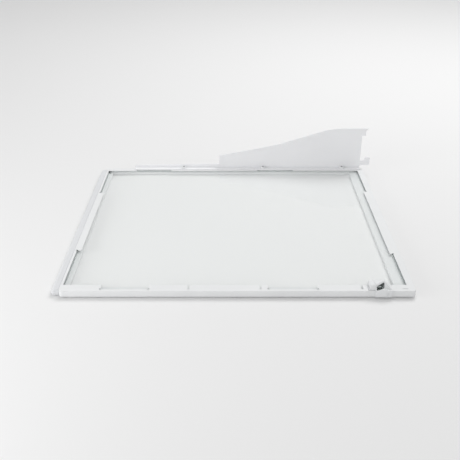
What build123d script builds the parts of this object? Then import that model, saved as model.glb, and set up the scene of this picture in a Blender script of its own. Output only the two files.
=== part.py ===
"""Cantilever refrigerator shelf: a glass pane in a moulded frame, with one hooked steel bracket.

The shelf lies face down, as it is set on a bench: the face that carries food is at z = 0 and the
bracket stands up. X runs from the front trim to the rear hooks, Y across the shelf and Z up, in
millimetres, with the origin under the middle of the whole part.
"""
import os

from build123d import *

# Glass pane
glass_thickness = 4.0
glass_corner = 12.0  # rounded corners of the pane
glass_seam = 0.4  # ground edge
glass_gap = 0.9  # slot between the pane's edge and the frame's walls
glass_play = 0.1  # room above and below the pane

# Frame, outside sizes
frame_length = 400.0  # front wall to rear wall
frame_width = 356.0  # over both side rails
frame_corner = 4.0
frame_edge = 0.6  # rounding of the outer edges
seat_gap = 0.1  # between pieces that sit on each other

# Frame section: walls round the pane, a flange under it and lips over it
front_wall = 2.9
rear_wall = 8.5
near_wall = 4.2
far_wall = 7.0  # wide enough for the bracket's screws
flange_thickness = 2.5
front_flange = 6.9  # reach of the flange from the wall
rear_flange = 13.5
near_flange = 8.8
far_flange = 4.0
lip_thickness = 1.0
front_lip = 5.8  # reach of the lip from the wall
rear_lip = 4.1
near_lip = 8.8
far_lip = 4.0
front_lip_span = (92.5, 263.0)  # from the near rail's outer face
rear_lip_span = (83.5, 268.0)
side_windows = ((46.5, 100.0), (235.0, 290.0))  # no lip here, from the front wall's outer face
lip_slits = (145.0, 226.0, 340.0)  # slits that free the near lip to flex
slit_width = 2.0
relief_radius = 1.6  # round ends of the slots beside the lips
corner_slot = (7.0, 1.0)  # slot at the near rear corner of the pane
corner_relief = (7.0, 4.6)  # deep relief at its front far corner

# Spill rim on the face that carries food, from the flange's edge to near the outer faces
rim_height = 1.8
rim_inset = 2.0
rim_edge = 0.8

# Front trim
trim_depth = 9.5
trim_height = 9.0
trim_end = 4.0  # set back from each end of the frame
trim_leg = 9.0  # reach of its leg under the frame
trim_bead = 0.6  # snap bead on that leg
bead_width = 1.5
bead_setback = 2.0  # from the end of the leg
trim_round = 3.0
trim_edge = 1.2

# Side bracket, heights above the top of the rail
sheet = 1.6
bend_radius = 0.8
bracket_flange = 8.0  # over the far rail
bracket_start = 43.3  # from the front wall's outer face
bracket_setback = 4.0  # rear edge before the rear of the frame
strip_front = 5.0
strip_rear = 7.3
step_length = 220.8  # from the step to the rear edge
step_height = 21.2
knee_length = 132.0  # from the knee to the rear edge
knee_height = 38.6
knee_radius = 260.0
crest_length = 46.0  # from the crest to the rear edge
crest_height = 65.3
crest_radius = 120.0
sheet_corner = 1.0
step_corner = 1.5

# Hook and toe at the rear of the bracket
hook_reach = 11.0  # past the rear of the frame
hook_low = 5.3
hook_neck = 7.6
tooth_length = 5.1
tooth_width = 7.7
toe_reach = 5.7  # past the bracket's rear edge
toe_height = 11.3
toe_tip = 4.4
toe_tip_depth = 3.2

# Screws through the bracket's flange into the far rail
screw_count = 3
screw_front = 76.7  # first screw, from the start of the bracket
screw_rear = 28.5  # last screw, from its rear edge
screw_inset = 4.45  # from the inner face of the bracket's web
screw_head_radius = 3.5
screw_head_height = 2.6
screw_head_round = 1.3
screw_shank_radius = 1.5
screw_length = 8.0
screw_tip = 0.8
recess_length = 3.6
recess_width = 0.9
recess_core = 1.1  # round middle of the recess
recess_depth = 1.4
flange_hole_play = 0.3
pilot_play = 0.05
pilot_end = 0.6  # room past the tip

# Clip on the near rail: lengths forward from its rear end, depths in from the rail's outer face
clip_setback = 27.6  # rear end before the rear of the frame
clip_length = 26.0
clip_base = 0.9
clip_depth = 13.5
clip_leg = 1.6  # leg down the outer face of the rail
leg_rise = 0.6  # end of the leg above the rail's lower edge
snap_depth = 0.6  # bead on the leg, in a groove of the rail
snap_height = 1.4
snap_level = 4.2
boss_at = 21.1
boss_start = 1.5
boss_radius = 3.9
boss_rise = 2.9  # boss axis above the rail
boss_round = 1.8
hood_front = 18.8
hood_rear = 9.1
hood_foot = 1.2  # height of the hood's rear end
hood_rise = 10.0
hood_fall = 4.2  # roof lower beside the boss than at its peak
hood_side = 1.6  # wall beside the boss
hood_roof = 1.4
hood_back = 2.0
hood_round = 1.0
mouth_lean = 32.0  # degrees that the mouth leans back
mouth_foot = 0.4  # height of the leaning mouth at the rail's outer face
roof_slope = 38.0  # degrees that the roof falls behind the mouth
roof_start = 7.5
pocket_width = 8.7
pocket_round = 1.0
sill_low = 0.2
sill_high = 3.6
rib_places = (6.3, 3.8)
rib_slant = 12.0  # degrees
rib_width = 1.2
rib_depth = 0.5
window_width = 7.2  # notch in the rail's wall and lip under the pocket

# Levels
flange_top = rim_height + flange_thickness
lip_bottom = flange_top + glass_thickness + 2 * glass_play
rail_top = lip_bottom + lip_thickness

# Places: the whole part is centred on the origin in X and Y
leg_depth = clip_leg + rib_depth + seat_gap
overall_length = trim_depth + frame_length + hook_reach
overall_width = leg_depth + frame_width + sheet
x_front = trim_depth - overall_length / 2
x_rear = x_front + frame_length
y_near = leg_depth - overall_width / 2
y_far = y_near + frame_width
pane_x = (x_front + front_wall, x_rear - rear_wall)
pane_y = (y_near + near_wall, y_far - far_wall)
flange_x = (pane_x[0] + front_flange, pane_x[1] - rear_flange)
flange_y = (pane_y[0] + near_flange, pane_y[1] - far_flange)
lips_x = (pane_x[0] + front_lip, pane_x[1] - rear_lip)
lips_y = (pane_y[0] + near_lip, pane_y[1] - far_lip)
bead_x = x_front + trim_leg - bead_setback
web_start = x_front + bracket_start
web_rear = x_rear - bracket_setback
screw_pitch = (web_rear - screw_rear - web_start - screw_front) / (screw_count - 1)
screw_y = y_far - screw_inset
screw_points = [(web_start + screw_front + i * screw_pitch, screw_y) for i in range(screw_count)]
clip_end = x_rear - clip_setback
clip_back = y_near + clip_depth
pocket_left = clip_end - hood_front + hood_side
pocket_right = pocket_left + pocket_width
pocket_back = clip_back - hood_back
leg_start = pocket_left - hood_side
window_x = (pocket_left, pocket_left + window_width)
clip_foot = rail_top + seat_gap
hood_top = clip_foot + hood_rise
leg_back = y_near - seat_gap
leg_front = leg_back - clip_leg
snap_top = snap_level + snap_height


def area(x_span, y_span, mode=Mode.ADD):
    """Rectangle over two spans, in the sketch at hand."""
    with Locations((sum(x_span) / 2, sum(y_span) / 2)):
        Rectangle(x_span[1] - x_span[0], y_span[1] - y_span[0], mode=mode)


def across(y):
    """Upright plane along X at one y; a sketch on it has X and Z, and extrudes towards the near rail."""
    return Plane.XZ.offset(-y)


# Pane
with BuildPart() as glass_pane:
    with BuildSketch(Plane.XY.offset(flange_top + glass_play)) as pane_outline:
        area(
            (pane_x[0] + glass_gap, pane_x[1] - glass_gap),
            (pane_y[0] + glass_gap, pane_y[1] - glass_gap),
        )
        fillet(pane_outline.vertices(), glass_corner)
    extrude(amount=glass_thickness)
    pane_faces = glass_pane.faces().filter_by(Axis.Z)
    chamfer(pane_faces.edges(), glass_seam)
glass_pane.part.label = "glass_pane"

# Frame
with BuildPart() as shelf_frame:
    with BuildSketch(Plane.XY.offset(rim_height)) as frame_outline:
        area((x_front, x_rear), (y_near, y_far))
        fillet(frame_outline.vertices(), frame_corner)
    extrude(amount=rail_top - rim_height)
    fillet(shelf_frame.faces().filter_by(Axis.Z).edges(), frame_edge)

    # Room for the pane, open below inside the flange and through the near wall behind the clip
    with BuildSketch(Plane.XY.offset(flange_top)):
        area(pane_x, pane_y)
        area(window_x, (y_near, pane_y[0]))
    extrude(amount=lip_bottom - flange_top, mode=Mode.SUBTRACT)
    with BuildSketch(Plane.XY.offset(rim_height)):
        area(flange_x, flange_y)
    extrude(amount=flange_thickness, mode=Mode.SUBTRACT)

    # Lips: the opening between them, the windows along the rails and under the clip, and the slits
    with BuildSketch(Plane.XY.offset(lip_bottom)):
        area(lips_x, lips_y)
        for start, end in side_windows:
            area((x_front + start, x_front + end), pane_y)
        for place in lip_slits:
            area((x_front + place - slit_width / 2, x_front + place + slit_width / 2), (pane_y[0], lips_y[0]))
        area(window_x, (y_near, pocket_back))
        area((pane_x[0], lips_x[0]), (lips_y[0], y_near + front_lip_span[0]))
        area((pane_x[0], lips_x[0]), (y_near + front_lip_span[1], lips_y[1]))
        area((lips_x[1], pane_x[1]), (lips_y[0], y_near + rear_lip_span[0]))
        area((lips_x[1], pane_x[1]), (y_near + rear_lip_span[1], lips_y[1]))
    extrude(amount=lip_thickness, mode=Mode.SUBTRACT)

    # Reliefs where a lip ends beside a slot and at two corners of the pane
    slot_x = (pane_x[0] + glass_gap / 2, pane_x[1] - glass_gap / 2)
    slot_y = (pane_y[0] + glass_gap / 2, pane_y[1] - glass_gap / 2)
    with BuildSketch(Plane.XY.offset(flange_top)):
        for start, end in side_windows:
            with Locations(*[(x_front + edge, y) for edge in (start, end) for y in slot_y]):
                Circle(relief_radius)
        with Locations(*[(slot_x[0], y_near + edge) for edge in front_lip_span]):
            Circle(relief_radius)
        with Locations(*[(slot_x[1], y_near + edge) for edge in rear_lip_span]):
            Circle(relief_radius)
        with Locations((pane_x[1] - corner_slot[0] / 2, slot_y[0])):
            SlotOverall(*corner_slot)
    extrude(amount=rail_top - flange_top, mode=Mode.SUBTRACT)
    with BuildSketch(Plane.XY.offset(rim_height)):
        with Locations((pane_x[0] + corner_relief[1] / 2, lips_y[1] - corner_relief[0] / 2)):
            SlotOverall(*corner_relief, rotation=90)
    extrude(amount=rail_top - rim_height, mode=Mode.SUBTRACT)

    # Spill rim round the near, rear and far sides; the trim's leg takes the front
    rim_x = (x_front + trim_leg + 2 * seat_gap, x_rear - rim_inset)
    rim_y = (y_near + rim_inset, y_far - rim_inset)
    with BuildSketch(Plane.XY):
        area(rim_x, rim_y)
        area((rim_x[0], flange_x[1]), flange_y, Mode.SUBTRACT)
    extrude(amount=rim_height)
    fillet(shelf_frame.edges().group_by(Axis.Z)[0], rim_edge)

    # Grooves for the snap beads of the trim and the clip
    groove_width = bead_width + 2 * seat_gap
    with BuildSketch(Plane.XY.offset(rim_height)):
        area((bead_x - groove_width / 2, bead_x + groove_width / 2), (y_near + trim_end, y_far - trim_end))
    extrude(amount=trim_bead, mode=Mode.SUBTRACT)
    with BuildSketch(across(y_near + snap_depth)):
        area((window_x[1], clip_end + seat_gap), (snap_level - seat_gap, snap_top + seat_gap))
    extrude(amount=snap_depth, mode=Mode.SUBTRACT)

    # Pilot holes for the bracket's screws
    with BuildSketch(Plane.XY.offset(rail_top)):
        with Locations(*screw_points):
            Circle(screw_shank_radius + pilot_play)
    extrude(amount=-(screw_length - sheet + pilot_end), mode=Mode.SUBTRACT)
shelf_frame.part.label = "shelf_frame"

# Front trim: a rounded nose, with a leg under the frame that ends in a snap bead
with BuildPart() as front_trim:
    trim_back = x_front - seat_gap
    nose = trim_height / 2
    leg_top = rim_height - seat_gap
    with BuildSketch(across(y_far - trim_end)):
        with BuildLine():
            tip = ThreePointArc(
                (x_front - trim_depth + nose, trim_height),
                (x_front - trim_depth, nose),
                (x_front - trim_depth + nose, 0),
            )
            Polyline(
                tip @ 1,
                (x_front + trim_leg, 0),
                (x_front + trim_leg, leg_top),
                (trim_back, leg_top),
                (trim_back, trim_height),
                tip @ 0,
            )
        make_face()
        area((bead_x - bead_width / 2, bead_x + bead_width / 2), (0, leg_top + trim_bead - seat_gap))
    extrude(amount=frame_width - 2 * trim_end)
    trim_ends = front_trim.faces().filter_by(Axis.Y)
    fillet(trim_ends.edges().filter_by(GeomType.CIRCLE), trim_round)
    upper_back = front_trim.edges().filter_by(Axis.Y).group_by(Axis.Z)[-1].sort_by(Axis.X)[-1]
    fillet(upper_back, trim_edge)
front_trim.part.label = "front_trim"

# Side bracket: an upright web with its hook and toe, folded over the far rail
with BuildPart() as side_bracket:
    hook_end = x_rear + hook_reach
    foot = rail_top + seat_gap
    hook_bottom = rail_top + hook_low
    hook_top = hook_bottom + hook_neck
    crest = rail_top + crest_height
    with BuildSketch(across(y_far + sheet)):
        with BuildLine():
            FilletPolyline(
                (web_start, foot),
                (web_start, rail_top + strip_front),
                (web_rear - step_length, rail_top + strip_rear),
                (web_rear - step_length, rail_top + step_height),
                (web_rear - knee_length, rail_top + knee_height),
                (web_rear - crest_length, crest),
                (web_rear + toe_reach + toe_tip, crest),
                (web_rear + toe_reach, crest - toe_tip_depth),
                (web_rear + toe_reach, crest - toe_height),
                (web_rear, crest - toe_height),
                (web_rear, hook_top),
                (hook_end - tooth_width, hook_top),
                (hook_end - tooth_width, hook_top + tooth_length),
                (hook_end, hook_top + tooth_length),
                (hook_end, hook_bottom),
                (web_rear, hook_bottom),
                (web_rear, foot),
                radius=[
                    0,
                    sheet_corner,
                    step_corner,
                    step_corner,
                    knee_radius,
                    crest_radius,
                    0,
                    sheet_corner,
                    sheet_corner,
                    sheet_corner,
                    sheet_corner,
                    sheet_corner,
                    sheet_corner,
                    sheet_corner,
                    sheet_corner,
                    sheet_corner,
                    0,
                ],
                close=True,
            )
        make_face()
    extrude(amount=sheet)
    with BuildSketch(Plane.XY.offset(foot)):
        area((web_start, web_rear), (y_far - bracket_flange, y_far))
        with Locations(*screw_points):
            Circle(screw_shank_radius + flange_hole_play, mode=Mode.SUBTRACT)
    extrude(amount=sheet)
    inner_fold = side_bracket.edges().filter_by(Axis.X).filter_by_position(Axis.Y, y_far, y_far)
    fillet(inner_fold.sort_by(Axis.Z)[-1], bend_radius)
    outer_fold = side_bracket.edges().filter_by(Axis.X).group_by(Axis.Y)[-1]
    fillet(outer_fold.sort_by(Axis.Z)[0], bend_radius + sheet)
side_bracket.part.label = "side_bracket"

# Screws: pan heads on the bracket's flange, shanks in the far rail
with BuildPart() as bracket_screws:
    head_bottom = rail_top + 2 * seat_gap + sheet
    head_top = head_bottom + screw_head_height
    with BuildSketch(Plane.XY.offset(head_bottom)):
        with Locations(*screw_points):
            Circle(screw_head_radius)
    extrude(amount=screw_head_height)
    fillet(bracket_screws.edges().group_by(Axis.Z)[-1], screw_head_round)
    with BuildSketch(Plane.XY.offset(head_bottom)):
        with Locations(*screw_points):
            Circle(screw_shank_radius)
    extrude(amount=-screw_length)
    chamfer(bracket_screws.edges().group_by(Axis.Z)[0], screw_tip)
    with BuildSketch(Plane.XY.offset(head_top)):
        with Locations(*screw_points):
            Rectangle(recess_length, recess_width)
            Rectangle(recess_width, recess_length)
            Circle(recess_core)
    extrude(amount=-recess_depth, mode=Mode.SUBTRACT)
bracket_screws.part.label = "bracket_screws"

# Pocket of the rail clip, under a roof that falls to the back
roof = Plane((0, y_near + roof_start, hood_top)).rotated((-roof_slope, 0, 0))
with BuildPart() as clip_pocket:
    with BuildSketch(across(pocket_back)):
        with BuildLine():
            FilletPolyline(
                (pocket_left, clip_foot),
                (pocket_left, hood_top - hood_roof - hood_fall),
                (pocket_right, hood_top - hood_roof),
                (pocket_right, clip_foot),
                radius=[0, pocket_round, pocket_round, 0],
                close=True,
            )
        make_face()
    extrude(amount=clip_depth)
    split(bisect_by=roof.offset(-hood_roof), keep=Keep.BOTTOM)

# Hood of the rail clip, with its leaning mouth
mouth = Plane((0, y_near, clip_foot + mouth_foot), x_dir=(1, 0, 0), z_dir=(0, -1, 0))
with BuildPart() as clip_hood:
    with BuildSketch(across(clip_back)):
        with BuildLine():
            FilletPolyline(
                (pocket_left - hood_side, clip_foot),
                (pocket_left - hood_side, hood_top - hood_fall),
                (clip_end - hood_rear, hood_top),
                (clip_end, clip_foot + hood_foot),
                (clip_end, clip_foot),
                radius=[0, hood_round, hood_round, 0, 0],
                close=True,
            )
        make_face()
    extrude(amount=clip_back - leg_front)
    split(bisect_by=mouth.rotated((-mouth_lean, 0, 0)), keep=Keep.BOTTOM)
    split(bisect_by=roof, keep=Keep.BOTTOM)
    add(clip_pocket.part, mode=Mode.SUBTRACT)

# Rail clip: a hood and a boss on a base, with a ribbed leg that snaps onto the near rail
with BuildPart() as rail_clip:
    # Round boss across the rail
    with BuildSketch(across(clip_back)):
        with Locations((clip_end - boss_at, clip_foot + boss_rise)):
            Circle(boss_radius)
    extrude(amount=clip_depth - boss_start)
    fillet(rail_clip.edges().group_by(Axis.Y)[0], boss_round)
    split(bisect_by=Plane.XY.offset(clip_foot))
    add(clip_hood.part)

    # Base on the rail, open over the notch
    with BuildSketch(Plane.XY.offset(clip_foot)):
        area((clip_end - clip_length, clip_end), (y_near + boss_start, clip_back))
        area((leg_start, clip_end), (leg_front, clip_back))
        area(window_x, (leg_back, pocket_back), Mode.SUBTRACT)
    extrude(amount=clip_base)

    # Leg down the outer face, with a sill before the pocket, ribs and the snap bead
    leg_low = rim_height + leg_rise
    with BuildSketch(across(leg_back)):
        with BuildLine():
            Polyline(
                (leg_start, leg_low),
                (leg_start, clip_foot + sill_low),
                (pocket_left, clip_foot + sill_low),
                (pocket_right, clip_foot + sill_high),
                (clip_end, clip_foot),
                (clip_end, leg_low),
                close=True,
            )
        make_face()
    extrude(amount=clip_leg)
    with BuildSketch(across(leg_front)):
        with Locations(*[(clip_end - place, (leg_low + clip_foot) / 2) for place in rib_places]):
            Rectangle(rib_width, clip_foot - leg_low, rotation=rib_slant)
    extrude(amount=rib_depth)
    with BuildSketch(across(y_near + snap_depth - seat_gap)):
        area((window_x[1] + seat_gap, clip_end), (snap_level, snap_top))
    extrude(amount=snap_depth + clip_leg)
rail_clip.part.label = "rail_clip"

os.makedirs("parts", exist_ok=True)
export_step(glass_pane.part, "parts/glass_pane.step")
export_step(shelf_frame.part, "parts/shelf_frame.step")
export_step(front_trim.part, "parts/front_trim.step")
export_step(side_bracket.part, "parts/side_bracket.step")
export_step(bracket_screws.part, "parts/bracket_screws.step")
export_step(rail_clip.part, "parts/rail_clip.step")
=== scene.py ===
"""Looks of the refrigerator shelf: finishes of its pieces, the table, the light and the camera."""
import math

import bpy
from mathutils import Matrix, Vector


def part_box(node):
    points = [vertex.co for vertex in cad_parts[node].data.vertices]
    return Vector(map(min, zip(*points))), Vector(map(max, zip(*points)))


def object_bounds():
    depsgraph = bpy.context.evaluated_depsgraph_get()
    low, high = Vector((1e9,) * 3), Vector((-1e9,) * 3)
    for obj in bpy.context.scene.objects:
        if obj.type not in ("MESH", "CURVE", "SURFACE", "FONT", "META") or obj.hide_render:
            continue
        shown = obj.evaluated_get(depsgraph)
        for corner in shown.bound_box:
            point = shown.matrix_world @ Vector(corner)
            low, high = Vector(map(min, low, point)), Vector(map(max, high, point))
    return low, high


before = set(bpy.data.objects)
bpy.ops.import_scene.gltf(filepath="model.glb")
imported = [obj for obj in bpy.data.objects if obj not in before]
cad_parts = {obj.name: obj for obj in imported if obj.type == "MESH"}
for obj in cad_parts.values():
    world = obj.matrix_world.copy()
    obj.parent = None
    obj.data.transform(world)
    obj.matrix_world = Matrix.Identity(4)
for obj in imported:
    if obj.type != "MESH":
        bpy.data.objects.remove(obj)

CAD_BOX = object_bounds()
MM = 0.001

# Colours, linear
WHITE_PLASTIC = (0.80, 0.81, 0.815)
TRIM_PLASTIC = (0.71, 0.72, 0.735)
CLIP_PLASTIC = (0.80, 0.81, 0.82)
STEEL_PAINT = (0.875, 0.88, 0.895)
SCREW_PAINT = (0.80, 0.81, 0.82)
# painted shade: near black in the corner slot and screw recesses, grey-green in the clip's pocket
PAINTED_DEEP_SHADE = (0.02, 0.02, 0.022)
PAINTED_POCKET_SHADE = (0.46, 0.50, 0.495)
GLASS_TINT = (0.982, 1.0, 0.994)
GLASS_EDGE = (0.68, 0.75, 0.735)
TABLE = (0.83, 0.83, 0.83)

# Tones and roughness, each from the low to the high end of a noise
NOISE_SPAN = (0.3, 0.7)
FLOW_TONES = (0.975, 1.015)
PAINT_TONES = (0.985, 1.01)
FRAME_ROUGHNESS = (0.38, 0.47)
TRIM_ROUGHNESS = (0.34, 0.43)
CLIP_ROUGHNESS = (0.36, 0.45)
PAINT_ROUGHNESS = (0.36, 0.46)
LACQUER_ROUGHNESS = (0.3, 0.45)
TABLE_ROUGHNESS = 0.6
TABLE_SPECULAR = 0.2

# Surfaces
UNIT = (0.0, 1.0)
PLASTIC_IOR = 1.46
PLASTIC_EDGE = 0.35 * MM  # softening of sharp edges
GRAIN_DEPTH = 0.02 * MM
PAINT_IOR = 1.5
PAINT_EDGE = 0.3 * MM
PEEL_DEPTH = 0.05 * MM
GLASS_IOR = 1.52
GLASS_PASS = 0.995  # share of the light that goes straight through the pane
EDGE_TILT = (0.95, 0.75)  # a face this far from level starts and ends to be an edge of the pane
EDGE_PASS = 0.5
EDGE_ROUGHNESS = 0.35

# Recesses, with painted shade in them
SCREW_HEAD_RADIUS = 3.5 * MM
DRIVER_RADIUS = (2.3 * MM, 2.1 * MM)  # painted shade inside these, round a screw's axis
DRIVER_DEPTH = (0.02 * MM, 0.3 * MM)  # and below these, from the top of its head
CLIP_MARGIN = 4 * MM
PANE_PLAY = 0.5 * MM
CORNER_SLOT = 6 * MM
SHADE_REACH = 9 * MM
SHADE_RANGE = (0.42, 0.12)  # openness at which the painted shade in a recess starts, and is full

# Table
TABLE_REACH = 6.0
TABLE_GAP = 0.05 * MM

# Camera, from the photograph's perspective
CAMERA_PLACE = (-10.51 * MM, -814.02 * MM, 421.16 * MM)
CAMERA_PITCH = 0.484346
CAMERA_YAW = -0.0020868
CAMERA_ROLL = 0.0010079
IMAGE_WIDTH = 460
FOCAL_PIXELS = 678
SENSOR = 36.0
NEAR_CLIP = 10 * MM

# Light: strengths of the sky, and place and side in metres and power in watts of each softbox
SKY_FRONT = 0.70
SKY_BACK = 0.48
SKY_MIRRORED = 0.80
SOFTBOXES = {
    "back": ((0.7, 0.7, 1.4), 0.8, 6.8),
    "high": ((0.7, 1.4, 2.2), 1.2, 17.0),
    "left_low": ((-0.5, -0.6, 0.15), 0.3, 0.65),
    "side_low": ((-0.8, -0.35, 0.25), 0.4, 1.6),
}


def put(tree, socket, value):
    """A value set on an input, or another node's output linked to it."""
    if isinstance(value, bpy.types.NodeSocket):
        tree.links.new(value, socket)
    else:
        socket.default_value = value


def add(tree, kind, inputs=None, **settings):
    """New node with its settings; an input is a value or another node's output."""
    made = tree.nodes.new(kind)
    for key, value in settings.items():
        setattr(made, key, value)
    for key, value in (inputs or {}).items():
        put(tree, made.inputs[key], value)
    return made


def new_material(name):
    """New material, its node tree and its shader."""
    made = bpy.data.materials.new(name)
    made.use_nodes = True
    return made, made.node_tree, made.node_tree.nodes["Principled BSDF"]


def noise(tree, scale, detail=2.0, roughness=0.5):
    """Noise in the object's own place, with so many features a metre."""
    place = add(tree, "ShaderNodeTexCoord").outputs["Object"]
    inputs = {"Vector": place, "Scale": scale, "Detail": detail, "Roughness": roughness}
    return add(tree, "ShaderNodeTexNoise", inputs).outputs["Fac"]


def remap(tree, value, source, target):
    """A value taken from one range to another, held at the ends."""
    inputs = {
        "Value": value,
        "From Min": source[0],
        "From Max": source[1],
        "To Min": target[0],
        "To Max": target[1],
    }
    return add(tree, "ShaderNodeMapRange", inputs).outputs["Result"]


def mix_colours(tree, factor, first, second):
    """Colour between two colours or outputs, by a factor."""
    made = add(tree, "ShaderNodeMix", {"Factor": factor}, data_type="RGBA")
    for socket, colour in ((made.inputs["A"], first), (made.inputs["B"], second)):
        put(tree, socket, colour if isinstance(colour, bpy.types.NodeSocket) else (*colour, 1.0))
    return made.outputs["Result"]


def maths(tree, operation, first, second=0.0):
    """Result of one sum on two values or outputs."""
    made = add(tree, "ShaderNodeMath", operation=operation)
    put(tree, made.inputs[0], first)
    put(tree, made.inputs[1], second)
    return made.outputs["Value"]


def position(tree):
    """The X, Y and Z of the place that is shaded."""
    place = add(tree, "ShaderNodeNewGeometry").outputs["Position"]
    return add(tree, "ShaderNodeSeparateXYZ", {"Vector": place}).outputs


def inside(tree, low, high):
    """One between two corners of an upright box, nothing elsewhere."""
    axes = position(tree)
    within = 1.0
    for axis, least, most in zip("XYZ", low, high):
        off_middle = maths(tree, "ABSOLUTE", maths(tree, "SUBTRACT", axes[axis], (least + most) / 2))
        within = maths(tree, "MULTIPLY", within, maths(tree, "LESS_THAN", off_middle, (most - least) / 2))
    return within


def around_clip(tree):
    """One beside and under the rail clip, from just below the pane up."""
    low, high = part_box("rail_clip")
    margin = Vector((CLIP_MARGIN, CLIP_MARGIN, CLIP_MARGIN))
    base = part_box("glass_pane")[0].z - PANE_PLAY
    return inside(tree, (low.x - CLIP_MARGIN, low.y - CLIP_MARGIN, base), Vector(high) + margin)


def in_corner(tree):
    """One in the deep slot of the frame at the pane's front far corner."""
    pane_low, pane_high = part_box("glass_pane")
    low = (pane_low.x - CORNER_SLOT, pane_high.y - CORNER_SLOT, pane_low.z)
    return inside(tree, low, (pane_low.x + CORNER_SLOT, CAD_BOX[1].y, CAD_BOX[1].z))


def paint_recess_shade(tree, clean):
    """A colour with painted shade: dark down in the clip's pocket and nearly black in the corner slot,
    where ambient occlusion finds it shut.
    """
    openness = add(tree, "ShaderNodeAmbientOcclusion", {"Distance": SHADE_REACH}, samples=8).outputs["AO"]
    # how much painted shade, from how shut the place is
    shade_share = remap(tree, openness, SHADE_RANGE, UNIT)
    shaded_pocket = mix_colours(tree, maths(tree, "MULTIPLY", shade_share, around_clip(tree)), clean, PAINTED_POCKET_SHADE)
    return mix_colours(tree, maths(tree, "MULTIPLY", shade_share, in_corner(tree)), shaded_pocket, PAINTED_DEEP_SHADE)


def varied(tree, pattern, colour, tones):
    """A colour between a darker and a lighter tone of itself, by a noise."""
    darker, lighter = (tuple(channel * tone for channel in colour) for tone in tones)
    return mix_colours(tree, remap(tree, pattern, NOISE_SPAN, UNIT), darker, lighter)


def finish_surface(tree, shader, edge, strength, depth, height):
    """Softened edges, and a bump as deep as given where the height is full."""
    edges = add(tree, "ShaderNodeBevel", {"Radius": edge}, samples=4).outputs["Normal"]
    inputs = {"Strength": strength, "Distance": depth, "Height": height, "Normal": edges}
    put(tree, shader.inputs["Normal"], add(tree, "ShaderNodeBump", inputs).outputs["Normal"])


def moulded_plastic(name, colour, roughness):
    """White moulded plastic: faint flow shades, fine grain, softened edges and painted shade in recesses.
    """
    made, tree, shader = new_material(name)
    flow = noise(tree, scale=22.0, detail=3.0, roughness=0.6)
    grain = noise(tree, scale=2600.0)
    put(tree, shader.inputs["Base Color"], paint_recess_shade(tree, varied(tree, flow, colour, FLOW_TONES)))
    put(tree, shader.inputs["Roughness"], remap(tree, flow, NOISE_SPAN, roughness))
    finish_surface(tree, shader, PLASTIC_EDGE, strength=0.25, depth=GRAIN_DEPTH, height=grain)
    shader.inputs["IOR"].default_value = PLASTIC_IOR
    return made


def powder_coat(name, colour):
    """White powder coat on sheet: orange peel, faint shades and a soft gloss."""
    made, tree, shader = new_material(name)
    shade = noise(tree, scale=14.0, detail=3.0, roughness=0.55)
    peel = noise(tree, scale=900.0, detail=3.0, roughness=0.55)
    put(tree, shader.inputs["Base Color"], varied(tree, shade, colour, PAINT_TONES))
    put(tree, shader.inputs["Roughness"], remap(tree, peel, NOISE_SPAN, PAINT_ROUGHNESS))
    finish_surface(tree, shader, PAINT_EDGE, strength=0.3, depth=PEEL_DEPTH, height=peel)
    shader.inputs["IOR"].default_value = PAINT_IOR
    return made


def float_glass(name):
    """Clear float glass with ground edges; light goes straight through it, except round the clip."""
    made, tree, shader = new_material(name)
    normal = add(tree, "ShaderNodeTexCoord").outputs["Normal"]
    upright = add(tree, "ShaderNodeSeparateXYZ", {"Vector": normal}).outputs["Z"]
    edge = remap(tree, maths(tree, "ABSOLUTE", upright), EDGE_TILT, UNIT)
    clean = mix_colours(tree, edge, GLASS_TINT, GLASS_EDGE)
    # painted shade on the pane's top face in the clip's pocket and the corner slot
    upper = maths(tree, "GREATER_THAN", upright, 0.5)
    put(tree, shader.inputs["Base Color"], mix_colours(tree, upper, clean, paint_recess_shade(tree, clean)))
    put(tree, shader.inputs["Transmission Weight"], remap(tree, edge, UNIT, (1.0, EDGE_PASS)))
    put(tree, shader.inputs["Roughness"], remap(tree, edge, UNIT, (0.0, EDGE_ROUGHNESS)))
    shader.inputs["IOR"].default_value = GLASS_IOR
    rays = add(tree, "ShaderNodeLightPath").outputs
    passing = maths(tree, "MAXIMUM", rays["Is Shadow Ray"], rays["Is Diffuse Ray"])
    closed = maths(tree, "MAXIMUM", edge, around_clip(tree))
    clear = maths(tree, "MULTIPLY", passing, maths(tree, "SUBTRACT", 1.0, closed))
    opacity = maths(tree, "SUBTRACT", 1.0, maths(tree, "MULTIPLY", clear, GLASS_PASS))
    put(tree, shader.inputs["Alpha"], opacity)
    return made


def screw_lacquer(name):
    """White lacquered screws, with painted shade down in the driver recesses near their axes."""
    made, tree, shader = new_material(name)
    low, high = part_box("bracket_screws")
    pitch = (high.x - low.x - 2 * SCREW_HEAD_RADIUS) / 2
    axes = position(tree)
    from_first = maths(tree, "SUBTRACT", axes["X"], low.x + SCREW_HEAD_RADIUS)
    along = maths(tree, "PINGPONG", from_first, pitch / 2)
    across = maths(tree, "SUBTRACT", axes["Y"], (low.y + high.y) / 2)
    squares = [maths(tree, "MULTIPLY", distance, distance) for distance in (along, across)]
    radius = maths(tree, "SQRT", maths(tree, "ADD", *squares))
    near = remap(tree, radius, DRIVER_RADIUS, UNIT)
    deep = remap(tree, axes["Z"], [high.z - depth for depth in DRIVER_DEPTH], UNIT)
    # painted shade in the driver recess
    driver_shade = maths(tree, "MULTIPLY", near, deep)
    put(tree, shader.inputs["Base Color"], mix_colours(tree, driver_shade, SCREW_PAINT, PAINTED_DEEP_SHADE))
    fine = noise(tree, scale=1500.0)
    put(tree, shader.inputs["Roughness"], remap(tree, fine, NOISE_SPAN, LACQUER_ROUGHNESS))
    return made


def dress(name, made):
    """A CAD node takes one material in all its slots."""
    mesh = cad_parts[name].data
    for slot in range(max(1, len(mesh.materials))):
        if slot < len(mesh.materials):
            mesh.materials[slot] = made
        else:
            mesh.materials.append(made)


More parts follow.
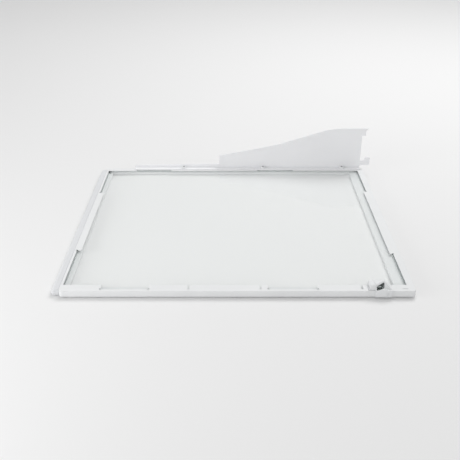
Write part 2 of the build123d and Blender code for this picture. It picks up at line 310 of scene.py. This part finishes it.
def build_table():
    """Pale table that runs out past the picture."""
    level = CAD_BOX[0].z - TABLE_GAP
    sides = ((-1, -1), (1, -1), (1, 1), (-1, 1))
    corners = [(x * TABLE_REACH, y * TABLE_REACH, level) for x, y in sides]
    mesh = bpy.data.meshes.new("table")
    mesh.from_pydata(corners, [], [(0, 1, 2, 3)])
    table = bpy.data.objects.new("table", mesh)
    bpy.context.scene.collection.objects.link(table)
    made, tree, shader = new_material("table_white")
    shader.inputs["Base Color"].default_value = (*TABLE, 1.0)
    shader.inputs["Roughness"].default_value = TABLE_ROUGHNESS
    shader.inputs["Specular IOR Level"].default_value = TABLE_SPECULAR
    mesh.materials.append(made)


def add_softbox(name, place, side, power):
    """Square area lamp that looks at the shelf and isn't mirrored in its glass."""
    lamp = bpy.data.lights.new(name, "AREA")
    lamp.shape = "SQUARE"
    lamp.size = side
    lamp.energy = power
    holder = bpy.data.objects.new(name, lamp)
    bpy.context.scene.collection.objects.link(holder)
    holder.location = place
    holder.rotation_euler = (-Vector(place)).to_track_quat("-Z", "Y").to_euler()
    holder.visible_glossy = False
    holder.visible_transmission = False


def light_scene():
    """White sky and softboxes; glass mirrors a sky as bright as the table."""
    world = bpy.data.worlds.new("studio")
    bpy.context.scene.world = world
    world.use_nodes = True
    tree = world.node_tree
    towards = add(tree, "ShaderNodeTexCoord").outputs["Generated"]
    depth = add(tree, "ShaderNodeSeparateXYZ", {"Vector": towards}).outputs["Y"]
    plain = remap(tree, depth, (-1.0, 1.0), (SKY_FRONT, SKY_BACK))
    rays = add(tree, "ShaderNodeLightPath").outputs
    mirrored = maths(tree, "MAXIMUM", rays["Is Glossy Ray"], rays["Is Transmission Ray"])
    mixed = add(tree, "ShaderNodeMix", {"Factor": mirrored, "A": plain, "B": SKY_MIRRORED})
    background = tree.nodes["Background"]
    background.inputs["Color"].default_value = (1.0, 1.0, 1.0, 1.0)
    put(tree, background.inputs["Strength"], mixed.outputs["Result"])
    for name, (place, side, power) in SOFTBOXES.items():
        add_softbox(name, place, side, power)
    bpy.context.scene.view_settings.view_transform = "Standard"


def set_camera():
    """Camera where the photograph was taken from."""
    lens = bpy.data.cameras.new("camera")
    lens.sensor_width = SENSOR
    lens.lens = FOCAL_PIXELS / IMAGE_WIDTH * SENSOR
    lens.clip_start = NEAR_CLIP
    camera = bpy.data.objects.new("camera", lens)
    bpy.context.scene.collection.objects.link(camera)
    turn = Matrix.Rotation(CAMERA_YAW, 4, "Z") @ Matrix.Rotation(math.pi / 2 - CAMERA_PITCH, 4, "X")
    camera.matrix_world = Matrix.Translation(CAMERA_PLACE) @ turn @ Matrix.Rotation(CAMERA_ROLL, 4, "Z")
    bpy.context.scene.camera = camera


dress("glass_pane", float_glass("float_glass"))
dress("shelf_frame", moulded_plastic("frame_white", WHITE_PLASTIC, FRAME_ROUGHNESS))
dress("front_trim", moulded_plastic("trim_white", TRIM_PLASTIC, TRIM_ROUGHNESS))
dress("rail_clip", moulded_plastic("clip_white", CLIP_PLASTIC, CLIP_ROUGHNESS))
dress("side_bracket", powder_coat("bracket_white", STEEL_PAINT))
dress("bracket_screws", screw_lacquer("screw_white"))
build_table()
light_scene()
set_camera()
